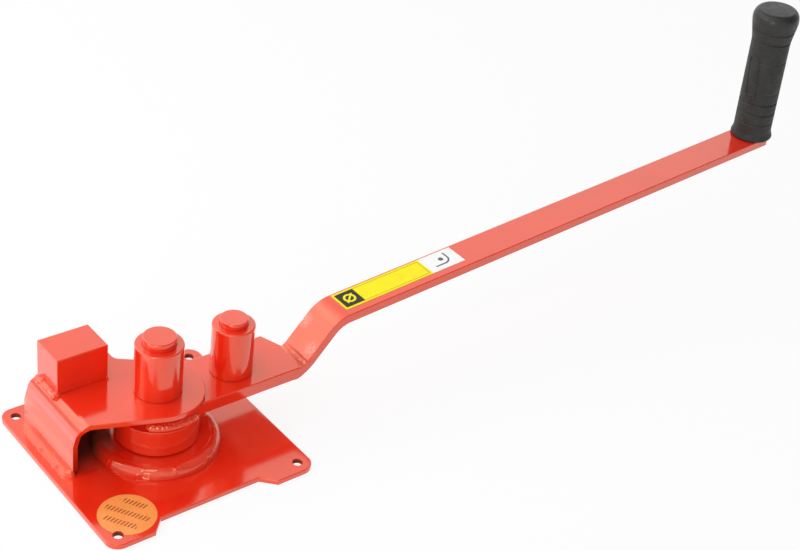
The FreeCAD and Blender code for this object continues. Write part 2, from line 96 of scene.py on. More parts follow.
class Wires:
    """Adds nodes to one tree; an input takes a plain value or what another node gives."""

    def __init__(self, tree):
        self.tree = tree

    def put(self, target, value):
        if isinstance(value, Field):
            self.tree.links.new(value.socket, target)
        else:
            target.default_value = value

    def add(self, kind, output, inputs=(), **settings):
        """Add a node, set it up, and hand back one output, or several where a tuple names them."""
        node = self.tree.nodes.new(kind)
        for label, setting in settings.items():
            setattr(node, label, setting)
        for socket, value in dict(inputs).items():
            self.put(node.inputs[socket], value)
        if isinstance(output, tuple):
            return [Field(self, node.outputs[name]) for name in output]
        return None if output is None else Field(self, node.outputs[output])

    def math(self, operation, first, *others):
        """An operation on one value, or through several in turn."""
        for other in others or (0.0,):
            first = self.add("ShaderNodeMath", 0, {0: first, 1: other}, operation=operation)
        return first

    def span(self, source, low, high, start=0.0, end=1.0, curve="LINEAR"):
        """Carry a value from one range over to another, and no further."""
        inputs = {"Value": source, "From Min": low, "From Max": high, "To Min": start, "To Max": end}
        return self.add("ShaderNodeMapRange", "Result", inputs, interpolation_type=curve)


# ---------------------------------------------------------------- view, floor and light

def put_in_scene(name, data):
    made = bpy.data.objects.new(name, data)
    bpy.context.scene.collection.objects.link(made)
    return made


def set_view():
    """The photograph's viewpoint: 42 degrees round to the left, 33 degrees up, rolled by 7.6 degrees."""
    turn, lift, roll = math.radians(-42.3585), math.radians(32.915), math.radians(7.5506)
    place = (-0.578924, -0.918284, 0.897212)
    back = Vector((math.sin(turn) * math.cos(lift), -math.cos(turn) * math.cos(lift), math.sin(lift)))
    level = Vector((math.cos(turn), math.sin(turn), 0))
    right = level * math.cos(roll) + back.cross(level) * math.sin(roll)
    up = back.cross(right)
    lens = bpy.data.cameras.new("viewpoint")
    lens.sensor_width, lens.lens = 36.0, 71.717
    lens.clip_start, lens.clip_end = 0.05, 30
    camera = put_in_scene("viewpoint", lens)
    camera.matrix_world = Matrix([*zip(right, up, back, place), (0, 0, 0, 1)])
    bpy.context.scene.camera = camera
    bpy.context.scene.view_settings.view_transform = "Standard"


def seen_directly(wires):
    """1 where the eye, a reflection or a see-through ray meets the surroundings, else 0."""
    rays = wires.add("ShaderNodeLightPath", ("Is Camera Ray", "Is Glossy Ray", "Is Transmission Ray"))
    return wires.math("MAXIMUM", *rays)


def set_sky(horizon, overhead, dark_side):
    """Soft room light that grows from the horizon to overhead; the room is white, and darker on one side."""
    world = bpy.data.worlds.new("white_room")
    world.use_nodes = True
    world.node_tree.nodes.clear()
    wires = Wires(world.node_tree)
    heading = wires.add("ShaderNodeTexCoord", "Generated")
    height = wires.add("ShaderNodeSeparateXYZ", "Z", {0: heading})
    beside = wires.add("ShaderNodeVectorMath", "Value", {0: heading, 1: Vector(dark_side).normalized()},
                       operation="DOT_PRODUCT")
    dimmed = wires.span(beside, 0.2, 0.9, 1.0, 0.68, "SMOOTHSTEP")
    mirrored = wires.span(beside, 0.52, 0.82, 1.0, 0.3, "SMOOTHSTEP")
    room = wires.math("MAXIMUM", mirrored, wires.add("ShaderNodeLightPath", "Is Camera Ray"))
    glow = wires.span(height, 0.0, 1.0, horizon, overhead) * dimmed
    soft, white = [wires.add("ShaderNodeBackground", 0, {"Color": (1, 1, 1, 1), "Strength": strength})
                   for strength in (glow, room)]
    blend = wires.add("ShaderNodeMixShader", 0, {0: seen_directly(wires), 1: soft, 2: white})
    wires.add("ShaderNodeOutputWorld", None, {"Surface": blend})
    bpy.context.scene.world = world


def lay_floor():
    """A wide pale floor just under the bender that keeps its soft shadow."""
    half, z, white_share = 6.0, -0.0003, 0.86
    mesh = bpy.data.meshes.new("floor")
    corners = [(-half, -half, z), (half, -half, z), (half, half, z), (-half, half, z)]
    mesh.from_pydata(corners, [], [(0, 1, 2, 3)])
    floor = put_in_scene("floor", mesh)
    matter = bpy.data.materials.new("pale_floor")
    matter.use_nodes = True
    matter.node_tree.nodes.clear()
    wires = Wires(matter.node_tree)
    matt = wires.add("ShaderNodeBsdfDiffuse", 0, {"Color": (0.96, 0.96, 0.96, 1)})
    white = wires.add("ShaderNodeEmission", 0, {"Strength": 1.0})
    blend = wires.add("ShaderNodeMixShader", 0, {0: seen_directly(wires) * white_share, 1: matt, 2: white})
    wires.add("ShaderNodeOutputMaterial", None, {"Surface": blend})
    mesh.materials.append(matter)


def hang_lamp(name, place, size, watts, fade, aim=(0.1, 0.0, 0.05)):
    """A panel that shines at a place; its light fades towards its edges, over a share of its size."""
    data = bpy.data.lights.new(name, "AREA")
    data.shape = "RECTANGLE"
    data.size, data.size_y = size
    data.energy = watts
    data.use_nodes = True
    wires = Wires(data.node_tree)
    spot = wires.add("ShaderNodeNewGeometry", "Parametric")
    fades = [wires.span(along, start, end, curve="SMOOTHSTEP")
             for along in wires.add("ShaderNodeSeparateXYZ", ("X", "Y"), {0: spot})
             for start, end in ((0.0, fade), (1.0, 1.0 - fade))]
    wires.put(data.node_tree.nodes["Emission"].inputs["Strength"], wires.math("MULTIPLY", *fades))
    lamp = put_in_scene(name, data)
    lamp.location = place
    lamp.rotation_mode = "QUATERNION"
    lamp.rotation_quaternion = (Vector(aim) - Vector(place)).to_track_quat("-Z", "Y")
    lamp.visible_camera = False


# ---------------------------------------------------------------- outlines

def unit(v):
    return v / np.linalg.norm(v)


def round_off(points, radius, steps=5):
    """Replace each corner of an outline by an arc; radius is one number or one for each corner."""
    made = []
    count = len(points)
    for i, p in enumerate(points):
        r = radius[i] if hasattr(radius, "__len__") else radius
        if r <= 0:
            made.append(tuple(p))
            continue
        p = np.array(p, float)
        a = unit(np.array(points[i - 1], float) - p)
        b = unit(np.array(points[(i + 1) % count], float) - p)
        half = math.acos(max(-1.0, min(1.0, float(a @ b)))) / 2
        centre = p + unit(a + b) * r / math.sin(half)
        start = p + a * r / math.tan(half) - centre
        end = p + b * r / math.tan(half) - centre
        sweep = math.atan2(start[0] * end[1] - start[1] * end[0], float(start @ end))
        for k in range(steps + 1):
            t = sweep * k / steps
            made.append((centre[0] + start[0] * math.cos(t) - start[1] * math.sin(t),
                         centre[1] + start[0] * math.sin(t) + start[1] * math.cos(t)))
    return made


def ring_of(radius, count=96, x=0.0, y=0.0, clockwise=False):
    turns = [(-math.tau if clockwise else math.tau) * k / count for k in range(count)]
    return [(x + radius * math.cos(a), y + radius * math.sin(a)) for a in turns]


def drawn_in(loop, distance):
    """Move an outline towards its left side by a distance, corners mitred."""
    p = np.array(loop, float)
    before = p - np.roll(p, 1, 0)
    after = np.roll(p, -1, 0) - p
    before /= np.linalg.norm(before, axis=1)[:, None]
    after /= np.linalg.norm(after, axis=1)[:, None]
    n1 = np.stack([-before[:, 1], before[:, 0]], 1)
    n2 = np.stack([-after[:, 1], after[:, 0]], 1)
    return p + (n1 + n2) / (1 + (n1 * n2).sum(1))[:, None] * distance


def thicken(points, step):
    """Put more points on a line, so that it bends evenly."""
    made = []
    for a, b in zip(points, points[1:]):
        n = max(1, round(math.dist(a, b) / step))
        made += [tuple(np.array(a) + (np.array(b) - np.array(a)) * k / n) for k in range(n)]
    return made + [tuple(points[-1])]


def lever_line():
    """Stations on the strap's middle line in the XZ plane: point and heading."""
    radius = 24.0 + STRAP_THICK / 2
    made = [((ARM_LONG, ARM_LOW + 8.2), ROOT)]

    def arc(angle, steps):
        (x, z), heading = made[-1]
        reach = math.copysign(radius, angle)
        cx, cz = x - reach * math.sin(heading), z + reach * math.cos(heading)
        for k in range(1, steps + 1):
            a = heading + angle * k / steps
            made.append(((cx + reach * math.sin(a), cz - reach * math.cos(a)), a))

    def ahead(length, steps):
        (x, z), heading = made[-1]
        for k in range(1, steps + 1):
            d = length * k / steps
            made.append(((x + d * math.cos(heading), z + d * math.sin(heading)), heading))

    arc(RISE - ROOT, FIRST_BEND_STEPS)
    ahead(31.5, RISE_STEPS)
    arc(RUN - RISE, SECOND_BEND_STEPS)
    ahead(556.0, RUN_STEPS)
    return made


# ---------------------------------------------------------------- finishes

class Finish(Wires):
    """One material: its shader, and patterns on the object's own coordinates."""

    def __init__(self, name, **fixed):
        self.material = bpy.data.materials.new(name)
        self.material.use_nodes = True
        super().__init__(self.material.node_tree)
        self.shader = self.tree.nodes["Principled BSDF"].inputs
        self.paint(**fixed)
        self.place = self.add("ShaderNodeTexCoord", "Object")

    def paint(self, **sockets):
        for name, value in sockets.items():
            self.put(self.shader[name.replace("_", " ")], value)

    def grain(self, size_mm, detail=2.0, rough=0.5, stretch=None):
        """Noise of a given size, from 0 to 1."""
        place = self.place
        if stretch:
            place = self.add("ShaderNodeMapping", 0, {"Vector": place, "Scale": stretch})
        inputs = {"Vector": place, "Scale": 1.0 / MM / size_mm, "Detail": detail, "Roughness": rough}
        return self.add("ShaderNodeTexNoise", "Fac", inputs)

    def spot_mm(self):
        """The place on the object in millimetres."""
        scaled = self.add("ShaderNodeVectorMath", 0, {0: self.place, "Scale": 1.0 / MM}, operation="SCALE")
        return self.add("ShaderNodeSeparateXYZ", ("X", "Y", "Z"), {0: scaled})

    def laid_on(self, origin, turn):
        """Coordinates in millimetres on a film's own plane: along it and across it."""
        origin = [c * MM for c in origin]
        inputs = {"Vector": self.place, "Location": origin, "Rotation": turn, "Scale": (MM, MM, MM)}
        plane = self.add("ShaderNodeMapping", 0, inputs, vector_type="TEXTURE")
        return self.add("ShaderNodeSeparateXYZ", ("X", "Y"), {0: plane})

    def tint(self, factor, dark, light):
        """Mix two colours, each a plain colour or what another node gives."""
        dark, light = [(*colour, 1) if isinstance(colour, tuple) else colour for colour in (dark, light)]
        inputs = {"A": dark, "B": light, "Factor": factor}
        return self.add("ShaderNodeMix", "Result", inputs, data_type="RGBA")

    def off_box(self, spot, centre, half):
        """Distance outside a rectangle, negative inside it."""
        sides = [abs(value - middle) - reach for value, middle, reach in zip(spot, centre, half)]
        return self.math("MAXIMUM", *sides)

    def off_point(self, spot, centre):
        aways = [value - middle for value, middle in zip(spot, centre)]
        squares = [away * away for away in aways]
        return self.math("SQRT", sum(squares[1:], squares[0]))

    def inked(self, distance, reach, soft=0.15):
        """1 where a distance is under the reach, 0 beyond it."""
        return self.span(distance, reach + soft, reach - soft)

    def relief(self, height, depth_mm):
        """Fine unevenness, in the clear coat too where there is one."""
        inputs = {"Height": height, "Strength": 1.0, "Distance": depth_mm * MM}
        normal = self.add("ShaderNodeBump", "Normal", inputs)
        self.paint(Normal=normal)
        if self.shader["Coat Weight"].is_linked:
            self.paint(Coat_Normal=normal)


def sprayed_enamel(name, wave, peel, lump=0.0, gloss=0.10, coat_share=1.0, streak=0.0, pebbled_with_painted_glints=(), painted_reflection=None):
    """Thick glossy red enamel: slow waves of a hand-sprayed coat, fine orange peel, and patches in the tone.

    Under the tongue and on the bolt holes' walls the colour is darkened as painted shade, and the coat is dull.
    In the crease at the strap's root the colour is darkened to deep red as painted shade, and duller. Pale
    spots in the orange-peel patches are painted glints, and the optional paler tint towards the foot is a
    painted reflection.
    """
    coat = Finish(name, IOR=1.75, Coat_Roughness=0.10, Coat_IOR=1.42, Specular_Tint=(1, 0.9, 0.5, 1))
    x, y, z = coat.spot_mm()
    apart = coat.off_point((x, y), (0.0, 0.0))
    # Painted shade: the colour darkens under the tongue, where shade falls.
    painted_hollow_shade = coat.math("MINIMUM", coat.span(x, -24, -38), coat.span(x, -83.6, -80), coat.span(z, 55.5, 53.5),
                       coat.span(y, -12, 14), coat.span(y, 78, 62), coat.span(apart, 38.5, 40.5))
    # Painted shade: the colour darkens on the bolt holes' walls.
    off_hole = coat.off_point((abs(x), abs(y)), (BOLT_APART / 2, BOLT_APART / 2))
    hole = coat.math("MINIMUM", coat.inked(off_hole, BOLT_HOLE / 2 + 0.1), coat.span(z, 4.9, 4.5))
    painted_shade = coat.math("MAXIMUM", painted_hollow_shade, hole)
    red = coat.tint(coat.span(coat.grain(38, 3, 0.55), 0.3, 0.7), (0.81, 0.022, 0.006), (0.88, 0.028, 0.008))
    # Painted reflection: the colour grows paler towards the foot, from 43 mm down to 20 mm.
    if painted_reflection:
        red = coat.tint(coat.span(z, 43.0, 20.0), red, painted_reflection)
    # Painted shade: the colour darkens to deep red in the crease at the strap's root, towards its near side.
    joint = coat.math("MINIMUM", *(coat.off_point((x, z), spot) for spot in ((132.0, 53.7), (135.9, 57.0))))
    crease = 0.9 * coat.math("MINIMUM", coat.inked(joint, 1.0, 0.9), coat.span(y, 3.0, -16.0),
                             coat.span(y, -28.6, -28.2))
    red = coat.tint(crease, red, (0.50, 0.007, 0.003))
    peeled = coat.span(coat.grain(31, 1.0), 0.5, 0.68, peel, peel * 4)
    height = coat.grain(26, 1.5) * wave + coat.grain(1.7, 1.0) * peeled
    if lump:
        height += coat.grain(4.2, 3.0, 0.6) * lump
    # In each patch the bump is real orange peel; the pale spots mixed into the colour are painted glints.
    for centre, reach in pebbled_with_painted_glints:
        near = coat.span(coat.off_point((x, y, z), centre), reach, reach * 0.4) * 0.24
        height += coat.grain(1.5, 1.5, 0.6) * near
        painted_glint_specks = coat.span(coat.grain(1.4, 2.0, 0.7), 0.4, 0.66, 0.0, 3.2)
        red = coat.tint(near * coat.span(y, -28.6, -28.0) * painted_glint_specks, red, (0.92, 0.42, 0.38))
    if streak:
        height += coat.grain(2.2, 2.0, 0.6, (1.0, 0.11, 1.0)) * streak
    shine = coat.span(coat.grain(9, 3), 0.3, 0.75, gloss, gloss + 0.08)
    # The dark colour under the tongue and in the bolt holes is painted shade; the coat is dull there and in the
    # crease.
    coat.paint(Base_Color=coat.tint(painted_shade, red, (0.17, 0.006, 0.003)),
               Roughness=shine + coat.math("MAXIMUM", painted_shade * 0.85, crease * 0.5),
               Coat_Weight=(1.0 - coat.math("MAXIMUM", painted_shade, crease)) * coat_share)
    coat.relief(height, 1.0)
    return coat.material


def moulded_rubber():
    """Dull black rubber, rubbed shiny by the hand on its crown."""
    rubber = Finish("moulded_rubber", IOR=1.5, Specular_IOR_Level=0.45)
    worn = rubber.span(rubber.grain(14, 4, 0.6), 0.35, 0.7)
    shine = rubber.span(rubber.grain(6, 3), 0.3, 0.7, 0.5, 0.68)
    rubbed = rubber.span(rubber.spot_mm()[2], 262, 274, 0.0, 0.26)
    rubber.paint(Base_Color=rubber.tint(worn, (0.014, 0.014, 0.013), (0.026, 0.026, 0.024)),
                 Roughness=shine - rubbed)
    rubber.relief(rubber.grain(0.7, 2) + rubber.grain(5, 2) * 1.5, 0.06)
    return rubber.material


def printed_film(name, dark, light, gloss, ink, marks, shine=0.5):
    """Thin printed plastic film; marks gives the finish's own mask for its plain marks."""
    film = Finish(name, IOR=1.46, Specular_IOR_Level=shine)
    colour = film.tint(film.span(film.grain(11, 3), 0.35, 0.7), dark, light)
    film.paint(Base_Color=film.tint(marks(film), colour, ink),
               Roughness=film.span(film.grain(5, 2), 0.3, 0.7, gloss, gloss + 0.1))
    film.relief(film.grain(7, 1.5), 0.05)
    return film.material


def strap_film_plane(film):
    """Plane of the films on the strap: along it from the end of the second bend, and across it."""
    (x, z), heading = lever_line()[RUN_START]
    top = STRAP_THICK / 2
    return film.laid_on((x - top * math.sin(heading), 0.0, z + top * math.cos(heading)), (0.0, -RUN, 0.0))


def frame_line(film):
    """Thin line inside the edge of the long film."""
    edge = film.off_box(strap_film_plane(film), (50.5, -8.5), (50.0, 12.5))
    return film.inked(abs(edge + 2.4), 0.5, 0.3) * 0.8


def size_sign(film):
    """A ring with a slanted stroke, the common sign for a diameter."""
    spot, centre = strap_film_plane(film), (12.7, -8.5)
    away = film.off_point(spot, centre)
    across = (spot[0] - centre[0]) - (spot[1] - centre[1])
    stroke = film.inked(abs(across), 1.3) * film.inked(away, 7.6)
    return film.math("MAXIMUM", film.inked(abs(away - 5.0), 1.1), stroke)


def bent_bar_sign(film):
    """A plain sign: a bar that bends a quarter turn round a dot."""
    spot, (x, y), reach, half = strap_film_plane(film), (120.0, -7.0), 7.5, 0.9
    away = film.off_point(spot, (x, y))
    quarter = film.math("GREATER_THAN", spot[0], x) * film.math("LESS_THAN", spot[1], y)
    low = film.inked(film.off_box(spot, (x - 5.5, y - reach), (5.5, half)), 0.0)
    side = film.inked(film.off_box(spot, (x + reach, y + 3.5), (half, 3.5)), 0.0)
    bend = film.inked(abs(away - reach), half) * quarter
    return film.math("MAXIMUM", film.inked(away, 2.6), bend, low, side)


def ruled_rows(film):
    """Three rows of plain slanted strokes where the round film has its print."""
    x, y = film.laid_on((-69.8, -70.9, PLATE_THICK), (0.0, 0.0, math.radians(-56.0)))
    phase = film.math("FRACT", (x + y * -0.3) / 3.1)
    strokes = film.inked(abs(phase - 0.5), 0.2, 0.08)
    rows = [film.inked(film.off_box((x, y), (middle, height), (half, 2.8)), 0.0)
            for middle, height, half in ((0.5, 14.6, 10.5), (-0.5, 1.6, 19.5), (-0.7, -10.6, 14.5))]
    return strokes * film.math("MAXIMUM", *rows) * 0.85


ENAMEL = sprayed_enamel("red_enamel", wave=0.035, peel=0.0025)
WELDED = sprayed_enamel("red_enamel_on_weld", wave=0.03, peel=0.004, lump=0.05)
ROUGH_WELD = sprayed_enamel("red_enamel_on_rough_weld", wave=0.03, peel=0.004, lump=0.12, gloss=0.2,
                            coat_share=0.5)
# The strap's enamel has two orange-peel patches whose pale spots are painted glints.
STRAP_COAT = sprayed_enamel("red_enamel_on_strap", wave=0.035, peel=0.0025,
                            pebbled_with_painted_glints=(((142.5, -24.5, 63.5), 10.0), ((154.0, 3.5, 77.0), 9.0)))
STREAKED = sprayed_enamel("red_enamel_streaked", wave=0.03, peel=0.003, lump=0.03, gloss=0.25, coat_share=0.5,
                          streak=0.26)
# Satin enamel for the outer leg's lower part; its paler tint towards the foot is a painted reflection.
SATIN_PAINTED_REFLECTION = sprayed_enamel("red_enamel_satin_painted_reflection", wave=0.035, peel=0.002, gloss=0.3, coat_share=0.5,
                       painted_reflection=(0.86, 0.29, 0.24))
RUBBER = moulded_rubber()
YELLOW = printed_film("yellow_film", (0.96, 0.82, 0.004), (1.0, 0.88, 0.005), 0.2, (0.50, 0.42, 0.006),
                      frame_line, 0.2)
WHITE = printed_film("white_film", (0.93, 0.93, 0.93), (0.97, 0.97, 0.97), 0.2, (0.10, 0.10, 0.11),
                     bent_bar_sign)
BLACK = printed_film("black_film", (0.022, 0.019, 0.010), (0.04, 0.034, 0.018), 0.25, (0.98, 0.84, 0.01),
                     size_sign, 0.25)
ORANGE = printed_film("orange_film", (0.93, 0.30, 0.07), (0.98, 0.36, 0.09), 0.25, (0.25, 0.02, 0.008),
                      ruled_rows)


# ---------------------------------------------------------------- making pieces

def mend(mesh, merge=0.0):
    """Merge the points that lie within a distance, and turn the faces outwards."""
    work = bmesh.new()
    work.from_mesh(mesh)
    if merge:
        bmesh.ops.remove_doubles(work, verts=work.verts, dist=merge)
    bmesh.ops.recalc_face_normals(work, faces=work.faces)
    work.to_mesh(mesh)
    work.free()


def mesh_piece(name, points, faces):
    mesh = bpy.data.meshes.new(name)
    mesh.from_pydata([(x * MM, y * MM, z * MM) for x, y, z in points], [], faces)
    mend(mesh, 1e-7)
    mesh.shade_smooth()
    return put_in_scene(name, mesh)


def bake(piece):
    """Turn what the modifiers make into the piece's own mesh."""
    bpy.context.view_layer.update()
    seen = piece.evaluated_get(bpy.context.evaluated_depsgraph_get())
    made = bpy.data.meshes.new_from_object(seen)
    piece.modifiers.clear()
    piece.data = made
    return piece


def even_shading(piece):
    """Large faces keep their own normals, and only the rounded edges turn."""
    modifier = piece.modifiers.new("even_shading", "WEIGHTED_NORMAL")
    modifier.mode = "FACE_AREA"
    modifier.weight = 100
    modifier.keep_sharp = True
    return bake(piece)


def fit(piece, body, node, finish=ENAMEL):
    """Paint a piece, hang it on its body and hide its solid; a weld bead has its paint already."""
    if finish:
        piece.data.materials.clear()
        piece.data.materials.append(finish)
    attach(piece, body)
    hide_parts(node)


def turned(name, outline, x=0.0, steps=144):
    """Turn a closed outline of radius and height round an upright axis."""
    points, faces, rings = [], [], []
    for r, z in outline:
        if r < 1e-6:
            rings.append([len(points)])
            points.append((x, 0.0, z))
            continue
        rings.append(list(range(len(points), len(points) + steps)))
        points += [(px, py, z) for px, py in ring_of(r, steps, x)]
    for i, low in enumerate(rings):
        high = rings[(i + 1) % len(rings)]
        if len(low) == 1 and len(high) == 1:
            continue
        for k in range(steps):
            j = (k + 1) % steps
            if len(low) == 1:
                faces.append((low[0], high[j], high[k]))
            elif len(high) == 1:
                faces.append((low[k], low[j], high[0]))
            else:
                faces.append((low[k], low[j], high[j], high[k]))
    return even_shading(mesh_piece(name, points, faces))


def make_turned(name, body, node, radii, heights, edges, steps=6, x=0.0):
    """A plain turned piece; its edges are given from the bore's foot outwards and up."""
    (bore, outer), (low, high) = radii, heights
    outline = round_off([(bore, low), (outer, low), (outer, high), (bore, high)], edges, steps)
    fit(turned(name, outline, x), body, node)


def slab(name, outer, holes, low, high, edge, steps=3):
    """Flat plate with an outline, holes and softly rounded edges."""
    levels = []
    for k in range(steps + 1):
        a = math.pi / 2 * k / steps
        levels.append((edge * (1 - math.sin(a)), low + edge * (1 - math.cos(a))))
    levels += [(inset, high + low - z) for inset, z in reversed(levels)]
    loops = [outer] + list(holes)
    points, faces = [], []
    for inset, z in levels:
        for loop in loops:
            points += [(x, y, z) for x, y in drawn_in(loop, inset)]
    total = sum(len(loop) for loop in loops)
    for level in range(len(levels) - 1):
        start = level * total
        for loop in loops:
            n = len(loop)
            for k in range(n):
                j = (k + 1) % n
                faces.append((start + k, start + j, start + total + j, start + total + k))
            start += n
    flat = [[Vector((x, y, 0)) for x, y in drawn_in(loop, edge)] for loop in loops]
    lid = tessellate_polygon(flat)
    top = (len(levels) - 1) * total
    faces += [(a, b, c) for a, b, c in lid]
    faces += [(a + top, b + top, c + top) for a, b, c in lid]
    return mesh_piece(name, points, faces)


def cut_across(piece, stations, axis=0):
    """Add cross lines to a mesh, so that it can be bent."""
    work = bmesh.new()
    work.from_mesh(piece.data)
    normal = [0, 0, 0]
    normal[axis] = 1
    for s in stations:
        spot = [0, 0, 0]
        spot[axis] = s * MM
        bmesh.ops.bisect_plane(work, geom=work.verts[:] + work.edges[:] + work.faces[:], dist=1e-8,
                               plane_co=spot, plane_no=normal)
    work.to_mesh(piece.data)
    work.free()


def reshape(piece, place):
    """Move every vertex by a rule, in millimetres."""
    for v in piece.data.vertices:
        v.co = Vector(place(v.co.x / MM, v.co.y / MM, v.co.z / MM)) * MM
    mend(piece.data)


def stand_up(piece):
    """Turn a flat slab up, so that its thickness lies along Y."""
    reshape(piece, lambda x, z, y: (x, y, z))


def joined(name, *parts):
    """One piece from several closed ones."""
    work = bmesh.new()
    for part in parts:
        work.from_mesh(part.data)
    keep = parts[0]
    work.to_mesh(keep.data)
    work.free()
    for part in parts[1:]:
        bpy.data.objects.remove(part)
    keep.name = name
    return keep


# ---------------------------------------------------------------- weld beads

def bead_tree():
    """Sweeps a bead's section along a line, then adds ripples and lumps to it."""
    tree = bpy.data.node_groups.new("weld_bead", "GeometryNodeTree")
    kinds = {"Geometry": "Geometry", "Section": "Object", "Paint": "Material"}
    names = ("Geometry", "Section", "Step", "Ripple Pitch", "Ripple Depth", "Lump Size", "Lump Height",
             "Nugget Size", "Nugget Height", "End Length", "Open Ends", "Seed", "Paint")
    for name in names:
        tree.interface.new_socket(name, in_out="INPUT", socket_type="NodeSocket" + kinds.get(name, "Float"))
    tree.interface.new_socket("Geometry", in_out="OUTPUT", socket_type="NodeSocketGeometry")
    wires = Wires(tree)
    given = dict(zip(names, wires.add("NodeGroupInput", names)))

    line = wires.add("GeometryNodeMeshToCurve", 0, {"Mesh": given["Geometry"]})
    line = wires.add("GeometryNodeResampleCurve", 0, {"Curve": line, "Length": given["Step"]}, mode="LENGTH")
    line = wires.add("GeometryNodeSetCurveNormal", 0, {"Curve": line}, mode="Z_UP")
    along = wires.add("GeometryNodeSplineParameter", "Length")
    whole = wires.add("GeometryNodeSplineLength", "Length")
    nearest = wires.math("MINIMUM", along, whole - along)
    gap = 1.0 - wires.math("MINIMUM", nearest / given["End Length"], 1.0)
    dome = wires.math("SQRT", wires.math("MAXIMUM", 1.0 - gap * gap, 0.0004))
    line = wires.add("GeometryNodeStoreNamedAttribute", 0, {"Geometry": line, "Name": "run", "Value": along},
                     data_type="FLOAT", domain="POINT")
    section = wires.add("GeometryNodeObjectInfo", "Geometry", {"Object": given["Section"]})
    size = 1.0 - (1.0 - dome) * given["Open Ends"]
    swept = wires.add("GeometryNodeCurveToMesh", 0, {"Curve": line, "Profile Curve": section, "Scale": size,
                                                     "Fill Caps": True})

    def noise(size, seed, detail):
        inputs = {"W": seed, "Scale": 1.0 / size, "Detail": detail}
        return wires.add("ShaderNodeTexNoise", "Fac", inputs, noise_dimensions="4D")

    lumps = (noise(given["Lump Size"], given["Seed"], 2.0) - 0.5) * given["Lump Height"] * 2.0
    proud = wires.math("MAXIMUM", noise(given["Nugget Size"], given["Seed"] + 7.0, 0.5) - 0.56, 0.0)
    nuggets = wires.math("MINIMUM", proud * 7.0, 1.0) * given["Nugget Height"]
    run = wires.add("GeometryNodeInputNamedAttribute", "Attribute", {"Name": "run"}, data_type="FLOAT")
    ripple = wires.math("SINE", run / given["Ripple Pitch"] * math.tau) * given["Ripple Depth"]
    normal = wires.add("GeometryNodeInputNormal", 0)
    rise = lumps + nuggets + ripple
    shift = wires.add("ShaderNodeVectorMath", 0, {0: normal, "Scale": rise}, operation="SCALE")
    made = wires.add("GeometryNodeSetPosition", 0, {"Geometry": swept, "Offset": shift})
    made = wires.add("GeometryNodeSetShadeSmooth", 0, {"Geometry": made})
    made = wires.add("GeometryNodeRealizeInstances", 0, {"Geometry": made})
    made = wires.add("GeometryNodeSetMaterial", 0, {"Geometry": made, "Material": given["Paint"]})
    wires.add("NodeGroupOutput", None, {0: made})
    return tree


def bead(name, line, section, step, ripple, lumps, nuggets=(2.0, 0.0), end=4.0, seed=1.0, closed=False,
         finish=WELDED):
    """A weld bead along a line of points; the section is drawn as (outwards to the right of travel, up).

    Ripples have a pitch and a depth, lumps and nuggets a size and a height; end is the length of an open end.
    """
    mesh = bpy.data.meshes.new(name)
    edges = [(i, i + 1) for i in range(len(line) - 1)] + ([(len(line) - 1, 0)] if closed else [])
    mesh.from_pydata([(x * MM, y * MM, z * MM) for x, y, z in line], edges, [])
    shape = bpy.data.curves.new(name + "_section", "CURVE")
    spline = shape.splines.new("POLY")
    spline.points.add(len(section) - 1)
    for point, (out, up) in zip(spline.points, section):
        point.co = (out * MM, -up * MM, 0, 1)
    spline.use_cyclic_u = True
    piece, profile = put_in_scene(name, mesh), put_in_scene(name + "_section", shape)
    length = sum(math.dist(line[a], line[b]) for a, b in edges)
    pitch = length / max(1, round(length / ripple[0]))
    tree = bpy.data.node_groups.get("weld_bead") or bead_tree()
    modifier = piece.modifiers.new("weld_bead", "NODES")
    modifier.node_group = tree
    values = {"Step": step, "Ripple Pitch": pitch, "Ripple Depth": ripple[1], "Lump Size": lumps[0],
              "Lump Height": lumps[1], "Nugget Size": nuggets[0], "Nugget Height": nuggets[1],
              "End Length": end}
    values = {label: value * MM for label, value in values.items()}
    values |= {"Section": profile, "Open Ends": 0.0 if closed else 1.0, "Seed": seed, "Paint": finish}
    for socket in tree.interface.items_tree:
        if socket.in_out == "INPUT" and socket.name in values:
            modifier[socket.identifier] = values[socket.name]
    bake(piece)
    bpy.data.objects.remove(profile)
    mend(piece.data, 2e-6)
    return piece


def raise_knobs(piece, *knobs):
    """Swell a bead round given places; each has a place, a height and a reach in millimetres."""
    mesh = piece.data
    moved = [v.co.copy() for v in mesh.vertices]
    for x, y, z, height, reach in knobs:
        centre = Vector((x, y, z)) * MM
        for v in mesh.vertices:
            gap = (v.co - centre).length / (reach * MM)
            if gap < 2.6:
                moved[v.index] += v.normal * (height * MM * math.exp(-gap * gap))
    for v, spot in zip(mesh.vertices, moved):
        v.co = spot


def oval_section(wide, high, sunk, count):
    """Section of a bead that is an oval, sunk into what it lies on."""
    return [(wide * x, high * y - sunk) for x, y in ring_of(1.0, count)]


def fillet_section(out, up, bulge=0.62, sunk=0.6, steps=7):
    """Section of a fillet bead whose corner is at the origin, drawn a little into both plates."""
    toe, top = np.array((out, 0.0)), np.array((0.0, up))
    mid = np.array((bulge * out, bulge * up))
    control = 2 * mid - (toe + top) / 2
    made = [(-sunk, -sunk), (out * 0.93, -sunk)]
    for k in range(steps + 1):
        t = k / steps
        p = (1 - t) ** 2 * toe + 2 * t * (1 - t) * control + t * t * top
        made.append((float(p[0]), float(p[1])))
    made.append((-sunk, up * 0.93))
    return made


# ---------------------------------------------------------------- base

